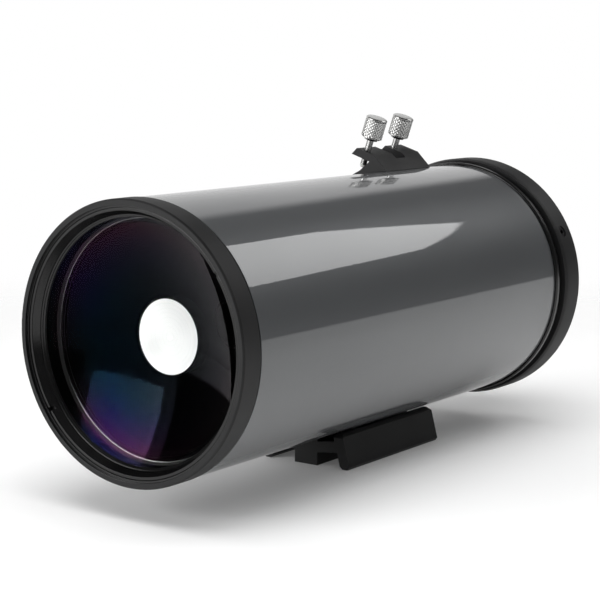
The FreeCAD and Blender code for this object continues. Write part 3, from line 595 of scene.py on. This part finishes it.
def cut_notches(piece):
    """Two spanner notches in the ring's front edge."""
    size = (4.2, 3.2, 1.6)
    corners = [(x, y, z) for x in (-0.5, 0.5) for y in (-0.5, 0.5) for z in (-0.5, 0.5)]
    points = [[share * side * MM for share, side in zip(corner, size)] for corner in corners]
    faces = [(0, 1, 3, 2), (4, 6, 7, 5), (0, 4, 5, 1), (2, 3, 7, 6), (0, 2, 6, 4), (1, 5, 7, 3)]
    out_to_ring = Matrix.Translation((48.6 * MM, 1.4 * MM, 0))
    for angle in (36, 216):
        cutter = new_object("notch_cutter", points, faces)
        place = Matrix.Rotation(math.radians(-angle), 4, "Y") @ out_to_ring
        cutter.data.transform(OPTICAL_AXIS @ place)
        cut = piece.modifiers.new("Notch", "BOOLEAN")
        cut.operation = "DIFFERENCE"
        cut.object = cutter
        cut.solver = "EXACT"
        bpy.context.view_layer.objects.active = piece
        bpy.context.view_layer.update()
        with bpy.context.temp_override(object=piece, active_object=piece):
            bpy.ops.object.modifier_apply(modifier=cut.name)
        bpy.data.objects.remove(cutter)


def sphere_station(radius, sphere, vertex):
    """The station where a sphere that is centred in front of the lens has that radius."""
    return vertex - sphere + math.sqrt(sphere**2 - radius**2)


def build_lens():
    """The meniscus with true spherical faces, its rim blackened but for a thin polished bevel."""
    front_edge, steps = 45.86, 40
    outline = []
    for step in range(steps + 1):
        radius = CLEAR_EDGE * step / steps
        outline.append((radius, sphere_station(radius, REAR_SPHERE, REAR_VERTEX)))
    outline += [(BEVEL_START, 15.68), (BEVEL_END, 15.53), (47.4, 14.4, 0.1), (47.4, 6.9, 0.2)]
    for step in range(steps, -1, -1):
        radius = front_edge * step / steps
        outline.append((radius, sphere_station(radius, FRONT_SPHERE, FRONT_VERTEX)))
    piece = turned("meniscus_fine", outline, OPTICAL_AXIS, ROUND)
    sphere_normals(piece)
    stand_in(piece, "meniscus_corrector")

    def paint_behind(material, inner, outer, slope):
        """Paint the faces between two radii whose normal's Y is more than the slope."""

        def chosen(radius, normal):
            return inner < radius < outer and normal.y > slope

        paint_where(piece, material, chosen)

    paint_behind("glass_back", 0, CLEAR_EDGE, 0.85)
    paint_behind("flat_black", BEVEL_END, math.inf, -0.5)
    paint_behind("flat_black", CLEAR_EDGE, BEVEL_START, 0.5)
    paint_behind("polished_bevel", BEVEL_START, BEVEL_END, 0.5)


def sphere_normals(piece):
    """Give the lens's curved faces the normals of their spheres."""
    mesh = piece.data
    faces = (
        (station(FRONT_VERTEX - FRONT_SPHERE), FRONT_SPHERE * MM, -1),
        (station(REAR_VERTEX - REAR_SPHERE), REAR_SPHERE * MM, 1),
    )
    on_sphere = 0.04 * MM
    normals = [Vector(corner.vector) for corner in mesh.corner_normals]
    for loop in mesh.loops:
        place = mesh.vertices[loop.vertex_index].co
        for centre, sphere, sign in faces:
            offset = place - centre
            outward = offset.normalized() * sign
            if abs(offset.length - sphere) < on_sphere and outward.dot(normals[loop.index]) > 0.9:
                normals[loop.index] = outward
    mesh.normals_split_custom_set([tuple(normal) for normal in normals])


def build_tube():
    """The tube, painted outside and dead black in its bore."""
    outline = [
        (TUBE_BORE, TUBE_START),
        (TUBE_RADIUS, TUBE_START, 0.25),
        (TUBE_RADIUS, TUBE_END, 0.25),
        (TUBE_BORE, TUBE_END),
    ]
    piece = turned("main_tube_fine", outline, OPTICAL_AXIS, ROUND)
    stand_in(piece, "main_tube")
    paint_where(piece, "flat_black", lambda radius, normal: radius < 51.5)


def build_rear_collar():
    """The rounded bead where the tube meets the rear cell."""
    outline = [
        (50.7, TUBE_END),
        (53.1, TUBE_END, 0.3),
        (53.6, 231.2, 0.4),
        (53.6, 232.9, 0.4),
        (53.0, 233.5, 0.2),
        (50.7, 233.5),
    ]
    stand_in(turned("rear_collar_fine", outline, OPTICAL_AXIS, ROUND), "rear_tube_collar")


# ---- clamp screws ----------------------------------------------------------------------

CLAMPS = {
    "finder_clamp_screw_front": "finder_clamp_front_turn",
    "finder_clamp_screw_rear": "finder_clamp_rear_turn",
    "eyepiece_clamp_screw_side": "eyepiece_clamp_side_turn",
    "eyepiece_clamp_screw_top": "eyepiece_clamp_top_turn",
}
# All in millimetres: the radii of the shank, of the collar under the knob and of the knob, then
# the heights of the knob and its collar.
SHANK, COLLAR, KNOB = 1.5, 3.0, 4.75
KNOB_LENGTH, COLLAR_HEIGHT = 9.4, 0.8
# The knurl's diamonds: how many go round, how deep and how high they are, and the mesh's rows.
KNURLS, KNURL_DEPTH, KNURL_HEIGHT, KNURL_ROWS = 20, 0.36, 1.6, 42
# The thread's rise in one turn, its depth, and the height of a row of its mesh.
THREAD_RISE, THREAD_DEPTH, THREAD_ROW = 0.5, 0.16, 0.05
# How much of the shank under the knob has no thread.
PLAIN_SHANK = {"finder": 5.8, "eyepiece": 4.2}


def zigzag(number):
    """A triangle wave: 0 at whole numbers, 1 halfway."""
    return 1 - abs((number % 1) * 2 - 1)


def clamp_span(node, joint):
    """The screw's frame, with its own 0 at the joint's point, and its first and last height."""
    place = along(Vector(joint["pos_m"]), joint["axis"])
    inverse = place.inverted()
    heights = [(inverse @ vertex.co).y / MM for vertex in frame["nodes"][node].data.vertices]
    return place, min(heights), max(heights)


def build_clamp(node, joint_name):
    """A knurled knob on a threaded shank."""
    joint = next(row for row in frame["joints"] if row["name"] == joint_name)
    place, start, end = clamp_span(node, joint)
    under = end - KNOB_LENGTH
    knurl_start, knurl_length = under + 0.5, KNOB_LENGTH - 1.0
    plain = under - PLAIN_SHANK[node.split("_")[0]]

    def knurled(radius, height, angle):
        """Two crossing sets of slanted grooves, which fade out at the knob's two ends."""
        if radius < KNOB - 0.01:
            return radius
        around, up = angle * KNURLS / (2 * math.pi), (height - knurl_start) / KNURL_HEIGHT
        left, right = zigzag(around + up), zigzag(around - up)
        fade = min(1.0, (height - under - 0.55) / 0.5, (end - 0.55 - height) / 0.5)
        return radius - KNURL_DEPTH * (1 - min(left, right)) * max(0.0, fade)

    top = [(COLLAR, under - COLLAR_HEIGHT), (COLLAR, under - 0.02)]
    top += [(KNOB - 0.75, under), (KNOB - 0.5, under + 0.06)]
    top += [(KNOB, knurl_start + knurl_length * row / KNURL_ROWS) for row in range(KNURL_ROWS + 1)]
    top += [(KNOB - 0.5, end - 0.06), (KNOB - 0.75, end), (0.5, end)]
    knob = sculpted(node + "_knob", top, place, knurled, KNURLS * 8)

    def threaded(radius, height, angle):
        """One groove that winds up the shank and fades out at both ends."""
        fade = max(0.0, min(1.0, (height - start) / 0.4, (plain - height) / 0.3))
        return radius - THREAD_DEPTH * zigzag(height / THREAD_RISE - angle / (2 * math.pi)) * fade

    steps = int((under - COLLAR_HEIGHT - start) / THREAD_ROW)
    length = under - COLLAR_HEIGHT - 0.15 - start
    shank = [(SHANK - 0.3, start)]
    shank += [(SHANK, start + 0.15 + length * row / steps) for row in range(steps + 1)]
    stem = sculpted(node + "_stem", shank, place, threaded, 36)
    bpy.ops.object.select_all(action="DESELECT")
    for piece in (stem, knob):
        piece.select_set(True)
    bpy.context.view_layer.objects.active = knob
    bpy.ops.object.join()
    stand_in(knob, node)


# ---- focus knob ------------------------------------------------------------------------

FOCUS_JOINT = next(row for row in frame["joints"] if row["name"] == "focus_turn")
FOCUS_X, _, FOCUS_Z = FOCUS_JOINT["pos_m"]
FOCUS_AXIS = along(Vector((FOCUS_X, FRONT_FACE, FOCUS_Z)), (0, 1, 0))


def build_focus_knob():
    """A turned core with a ribbed rubber grip round it; heights are stations on its own axis."""
    outline = [
        (4.0, 253.9),
        (12.0, 253.9, 0.6),
        (12.0, 270.0, 1.0),
        (9.6, 270.0, 0.3),
        (9.2, 269.6, 0.3),
        (0.0, 269.6),
        (0.0, 266.0),
        (4.0, 266.0),
    ]
    stand_in(turned("focus_knob_fine", outline, FOCUS_AXIS, 128), "focus_knob")
    ribs, rows, rib_depth = 36, 24, 0.75
    core, inner, shoulder, crest = 12.02, 12.9, 13.3, 13.8
    low, high, rounding = 256.0, 268.0, 0.5

    def ribbed(radius, height, angle):
        """Rounded ribs along the grip, which fade out at its two ends."""
        if radius < 12.5:
            return radius
        fade = min(1.0, (height - low - 0.2) / 0.8, (high - 0.2 - height) / 0.8)
        groove = max(0.0, math.cos(angle * ribs)) ** 0.7
        return radius - rib_depth * (1 - groove) * max(0.0, fade)

    length = high - low - 2 * rounding
    section = [(core, low), (inner, low), (shoulder, low + 0.12)]
    section += [(crest, low + rounding + length * row / rows) for row in range(rows + 1)]
    section += [(shoulder, high - 0.12), (inner, high), (core, high)]
    stand_in(sculpted("focus_grip_fine", section, FOCUS_AXIS, ribbed, ribs * 10), "focus_knob_grip")


# CAD nodes whose shape is right and whose edges are softened, with the width in millimetres.
EDGE_WIDTHS = {
    "dovetail_bar": 0.7,
    "finder_shoe": 0.35,
    "rear_cover": 0.3,
    "eyepiece_holder": 0.25,
    "rear_cell": 0.2,
    "focus_bushing": 0.2,
}


def build_all():
    """Every piece that takes a CAD node's place."""
    build_front_cell()
    build_retaining_ring()
    build_lens()
    build_tube()
    build_rear_collar()
    for node, joint in CLAMPS.items():
        build_clamp(node, joint)
    build_focus_knob()
    for node, width in EDGE_WIDTHS.items():
        softened(node, width)


def paint_cad():
    """Every CAD node that still shows gets its finish."""
    for name, node in frame["nodes"].items():
        node.data.materials.clear()
        node.data.materials.append(finish_for(name))


# ---- studio ----------------------------------------------------------------------------


def emitter(name, corners, strength):
    """A glowing panel that the camera does not see."""
    panel = new_object(name, corners, [tuple(range(len(corners)))])
    material = bpy.data.materials.new(name)
    material.use_nodes = True
    tree = material.node_tree
    tree.nodes.clear()
    glow = add_node(tree, "ShaderNodeEmission")
    glow.inputs["Strength"].default_value = strength
    out = add_node(tree, "ShaderNodeOutputMaterial")
    tree.links.new(glow.outputs[0], out.inputs["Surface"])
    panel.data.materials.append(material)
    panel.visible_camera = False


def towards(azimuth, elevation):
    """A direction; azimuth 0 is +Y and 90 is +X, in degrees."""
    a, e = math.radians(azimuth), math.radians(elevation)
    return Vector((math.sin(a) * math.cos(e), math.cos(a) * math.cos(e), math.sin(e)))


def panel_axes(direction):
    """Sideways and upwards unit vectors in a plane that faces a direction."""
    side = Vector((direction.y, -direction.x, 0)).normalized()
    up = side.cross(direction).normalized()
    return side, -up if up.z < 0 else up


def octabox():
    """The eight-sided softbox behind the eye end, which draws the long highlight on the tube."""
    distance, sideways, upwards, radius, first_corner = 1.0, 0.120, 0.131, 0.247, 223
    direction = towards(18, 30)
    side, up = panel_axes(direction)
    middle = station(100) + direction * distance + side * sideways + up * upwards
    corners = []
    for index in range(8):
        angle = math.radians(first_corner + 45 * index)
        corners.append(middle + (side * math.cos(angle) + up * math.sin(angle)) * radius)
    emitter("octabox", corners, 3.3)


def area_light(name, direction, distance, width, height, radiance, focus, glossy=True):
    """A rectangular softbox in metres that faces a focus from a distance."""
    light = bpy.data.lights.new(name, "AREA")
    light.shape = "RECTANGLE"
    light.size, light.size_y = width, height
    light.energy = radiance * math.pi * width * height
    lamp = bpy.data.objects.new(name, light)
    bpy.context.scene.collection.objects.link(lamp)
    lamp.location = focus + direction * distance
    lamp.rotation_mode = "QUATERNION"
    lamp.rotation_quaternion = direction.to_track_quat("Z", "Y")
    lamp.visible_camera = False
    lamp.visible_glossy = glossy


def lights():
    """The octabox behind, two softboxes that the lens reflects, and two fills."""
    octabox()
    lens, centre = station(10), station(120)
    area_light("front_softbox", towards(-153.5, 17.5), 1.4, 0.86, 0.70, 6.0, lens)
    area_light("softbox_rim", towards(-152.5, 16), 1.46, 1.22, 0.98, 0.9, lens)
    area_light("overhead", towards(150, 78), 1.3, 1.3, 1.1, 3.4, centre, glossy=False)
    area_light("camera_side_fill", towards(120, 35), 1.6, 0.9, 0.9, 1.0, centre, glossy=False)


def world():
    """White for the camera. As light it is dim all round, with a pale backdrop behind the
    telescope on its -X side, and white below."""
    space = bpy.data.worlds.new("studio")
    bpy.context.scene.world = space
    space.use_nodes = True
    tree = space.node_tree
    tree.nodes.clear()

    def add(kind, **settings):
        return add_node(tree, kind, **settings)

    direction = add("ShaderNodeTexCoord").outputs["Generated"]

    def zone(toward, start, full, gain):
        """Rises to gain as the direction's dot product with another one goes from start to full."""
        dot = add("ShaderNodeVectorMath", operation="DOT_PRODUCT")
        tree.links.new(direction, dot.inputs[0])
        dot.inputs[1].default_value = toward
        edge = add("ShaderNodeMapRange", interpolation_type="SMOOTHSTEP")
        edge.inputs["From Min"].default_value = start
        edge.inputs["From Max"].default_value = full
        edge.inputs["To Max"].default_value = gain
        tree.links.new(dot.outputs["Value"], edge.inputs["Value"])
        return edge.outputs["Result"]

    def together(operation, first, second):
        """A sum, product or maximum of an output and another output or a plain number."""
        node = add("ShaderNodeMath", operation=operation)
        tree.links.new(first, node.inputs[0])
        if isinstance(second, float):
            node.inputs[1].default_value = second
        else:
            tree.links.new(second, node.inputs[1])
        return node.outputs[0]

    down, dim = Vector((0, 0, -1)), 0.075
    right_of = zone(towards(-108, 0), -0.04, 0.07, 0.78)
    left_of = zone(towards(0, 0), -0.12, 0.03, 1.0)
    under = zone(down, -0.9, -0.75, 1.0)
    backdrop = together("MULTIPLY", together("MULTIPLY", right_of, left_of), under)
    below = zone(down, 0.03, 0.05, 1.0)
    level = together("MAXIMUM", together("ADD", backdrop, dim), below)
    studio = add("ShaderNodeBackground")
    studio.inputs["Color"].default_value = (1, 1, 1, 1)
    tree.links.new(level, studio.inputs["Strength"])
    seen = add("ShaderNodeBackground")
    seen.inputs["Color"].default_value = (1, 1, 1, 1)
    path = add("ShaderNodeLightPath")
    mix = add("ShaderNodeMixShader")
    tree.links.new(path.outputs["Is Camera Ray"], mix.inputs["Fac"])
    tree.links.new(studio.outputs[0], mix.inputs[1])
    tree.links.new(seen.outputs[0], mix.inputs[2])
    out = add("ShaderNodeOutputWorld")
    tree.links.new(mix.outputs[0], out.inputs["Surface"])


def floor():
    """Pale paper that fades into the white surroundings away from the telescope."""
    reach, fade_start, fade_end = 2.0, 0.22, 0.62
    corners = [(-reach, -reach, 0), (reach, -reach, 0), (reach, reach, 0), (-reach, reach, 0)]
    plane = new_object("floor", corners, [(0, 1, 2, 3)])
    n = Nodes("floor_paper")
    paper = n.ramp(n.noise(3, 2), [(0.3, (0.90, 0.90, 0.90)), (0.7, (0.92, 0.92, 0.92))])
    n.link(paper, n.shader.inputs["Base Color"])
    n.link(paper, n.shader.inputs["Emission Color"])
    n.set(Roughness=0.95, IOR=1.05, Emission_Strength=0.08)
    away = n.add("ShaderNodeVectorMath", operation="LENGTH")
    n.link(n.place(), away.inputs[0])
    fade = n.add("ShaderNodeMapRange", interpolation_type="SMOOTHSTEP")
    fade.inputs["From Min"].default_value = fade_start
    fade.inputs["From Max"].default_value = fade_end
    fade.inputs["To Min"].default_value = 1.0
    fade.inputs["To Max"].default_value = 0.0
    n.link(away.outputs["Value"], fade.inputs["Value"])
    n.link(fade.outputs["Result"], n.shader.inputs["Alpha"])
    plane.data.materials.append(n.material)
    plane.location.z = -0.2 * MM


def camera():
    """Seen from the sky end, a little above the tube and 35 degrees towards +X."""
    azimuth, elevation, roll = 35.38, 8.41, 0.37
    data = bpy.data.cameras.new("camera")
    data.sensor_width = 36
    data.lens = 103.5
    data.clip_start, data.clip_end = 0.05, 50
    view = bpy.data.objects.new("camera", data)
    bpy.context.scene.collection.objects.link(view)
    a, e = math.radians(azimuth), math.radians(elevation)
    back = Vector((math.sin(a) * math.cos(e), -math.cos(a) * math.cos(e), math.sin(e)))
    view.location = (0.4032, -0.6078, 0.1723)
    view.rotation_mode = "QUATERNION"
    turn = (-back).to_track_quat("-Z", "Y")
    view.rotation_quaternion = turn @ Quaternion((0, 0, 1), math.radians(roll))
    bpy.context.scene.camera = view


def grade():
    """Plain colours, with no film look."""
    bpy.context.scene.view_settings.view_transform = "Standard"
    bpy.context.scene.view_settings.look = "None"


paint_cad()
build_all()
lights()
world()
floor()
camera()
grade()
